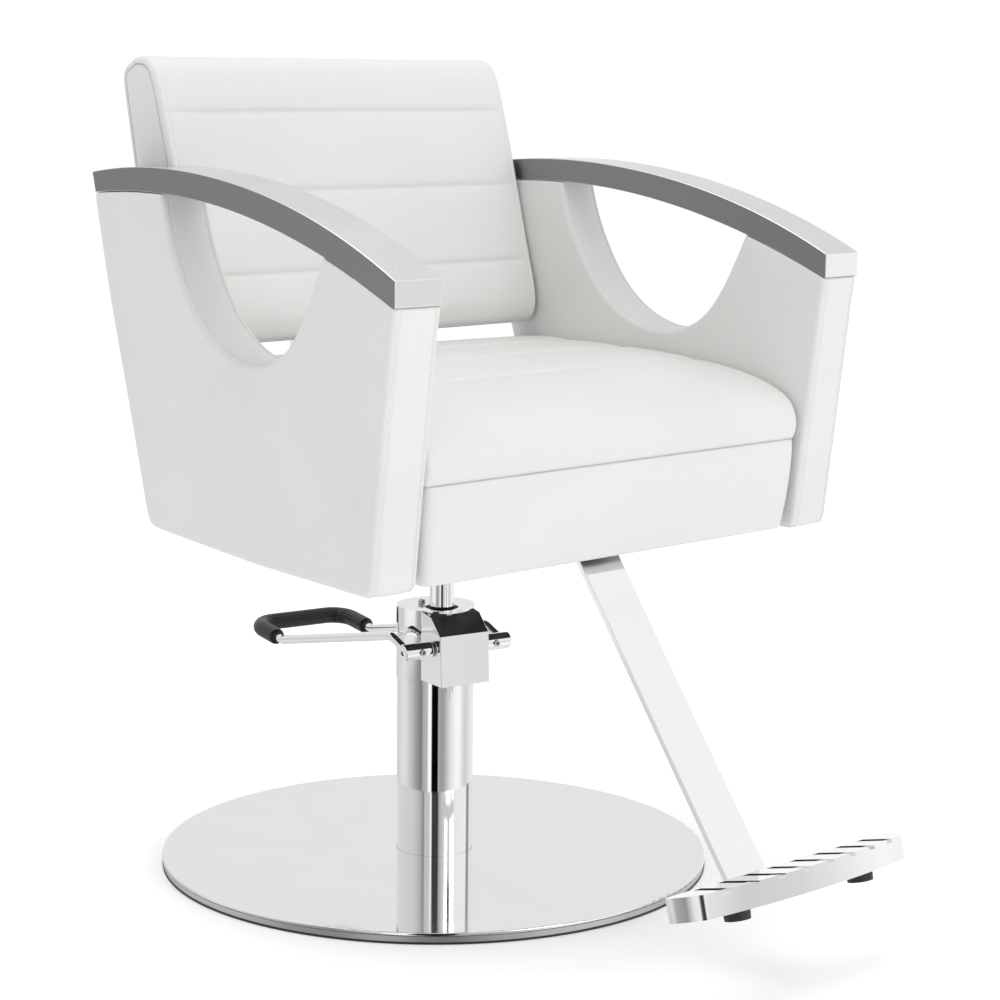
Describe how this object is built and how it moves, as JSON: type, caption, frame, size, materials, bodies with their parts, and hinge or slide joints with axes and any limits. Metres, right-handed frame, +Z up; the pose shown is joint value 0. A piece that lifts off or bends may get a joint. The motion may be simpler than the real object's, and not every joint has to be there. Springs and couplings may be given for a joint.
{
  "type": "styling chair",
  "caption": "Hydraulic salon styling chair with padded seat and low back, arched side panels under metal armrests, round floor base, foot pump lever and single-bar footrest.",
  "frame": {"origin": "on the swivel axis at floor level, chair at its lowest", "axes": "+Z up along the swivel axis, the sitter faces -Y, +X is the sitter's left; the chair above the pump is symmetric about X = 0"},
  "size_m": [0.6532, 0.8777, 0.8736],
  "materials": {
    "cast_base": "dull grey",
    "black_rubber": "matt",
    "grip_rubber": "satin, ribbed",
    "black_foam": "matt",
    "polished_steel": "mirror polished",
    "chrome": "mirror polished",
    "plain_steel": "machined",
    "zinc_screws": "zinc plated",
    "bronze": "machined",
    "black_paint": "satin black",
    "white_leather": "soft white, fine grain",
    "plywood": "sanded",
    "black_cloth": "non-woven",
    "satin_aluminium": "satin brushed"
  },
  "bodies": {
    "base": {"base_plate": "cast_base", "base_ring": "black_rubber", "base_gasket": "black_foam", "base_cover": "polished_steel", "foot_flange": "plain_steel", "foot_bolts": "plain_steel", "column_tube": "chrome", "pump_barrel": "plain_steel", "pump_head": "chrome", "rod_guide": "bronze", "wiper_seal": "black_rubber", "bleed_screw": "zinc_screws", "shaft_bushes": "bronze", "valve_cover": "plain_steel", "cover_screws": "zinc_screws", "return_spring": "plain_steel"},
    "lever": {"rocker_shaft": "plain_steel", "crank": "plain_steel", "lever_rod": "chrome", "lever_grip": "grip_rubber", "lever_hub_left": "chrome", "lever_hub_right": "chrome", "hub_screws": "zinc_screws"},
    "plunger": {"pump_plunger": "plain_steel"},
    "piston": {"piston_rod": "chrome", "piston_head": "plain_steel", "piston_seal": "black_rubber", "piston_nut": "zinc_screws", "thrust_washer": "bronze"},
    "chair": {"swivel_socket": "black_paint", "swivel_bush": "bronze", "mount_plate": "black_paint", "socket_bolts": "zinc_screws", "socket_nuts": "zinc_screws", "seat_frame": "black_paint", "frame_bolts": "zinc_screws", "seat_box": "white_leather", "seat_deck": "plywood", "deck_screws": "zinc_screws", "seat_cushion": "white_leather", "dust_cover": "black_cloth", "panel_left": "white_leather", "panel_right": "white_leather", "panel_core_left": "plywood", "panel_core_right": "plywood", "panel_bolts": "zinc_screws", "armrest_left": "satin_aluminium", "armrest_right": "satin_aluminium", "arm_studs": "zinc_screws", "back_cushion": "white_leather", "back_board": "plywood", "back_cover": "white_leather", "back_uprights": "chrome", "upright_bolts": "zinc_screws", "footrest_bar": "chrome", "footrest_bolts": "zinc_screws", "footrest_plate": "chrome", "footrest_feet": "black_rubber"}
  },
  "joints": [
    {"name": "lift", "type": "slide", "parent": "base", "child": "piston", "axis": [0, 0, 1], "range_m": [0, 0.16]},
    {"name": "swivel", "type": "hinge", "parent": "piston", "child": "chair", "pos_m": [0, 0, 0.33], "axis": [0, 0, 1], "continuous": true},
    {"name": "pump_lever", "type": "hinge", "parent": "base", "child": "lever", "pos_m": [-0.00498, -0.02826, 0.2475], "axis": [-0.9848, 0.1736, 0], "range_deg": [0, 18], "stiffness_Nm_per_rad": 8, "springref_deg": -14.32},
    {"name": "plunger_stroke", "type": "slide", "parent": "base", "child": "plunger", "axis": [0, 0, 1], "range_m": [0, 0.0027]}
  ],
  "couplings": [
    {"joint": "plunger_stroke", "follows": "pump_lever", "m_per_rad": 0.0085}
  ]
}
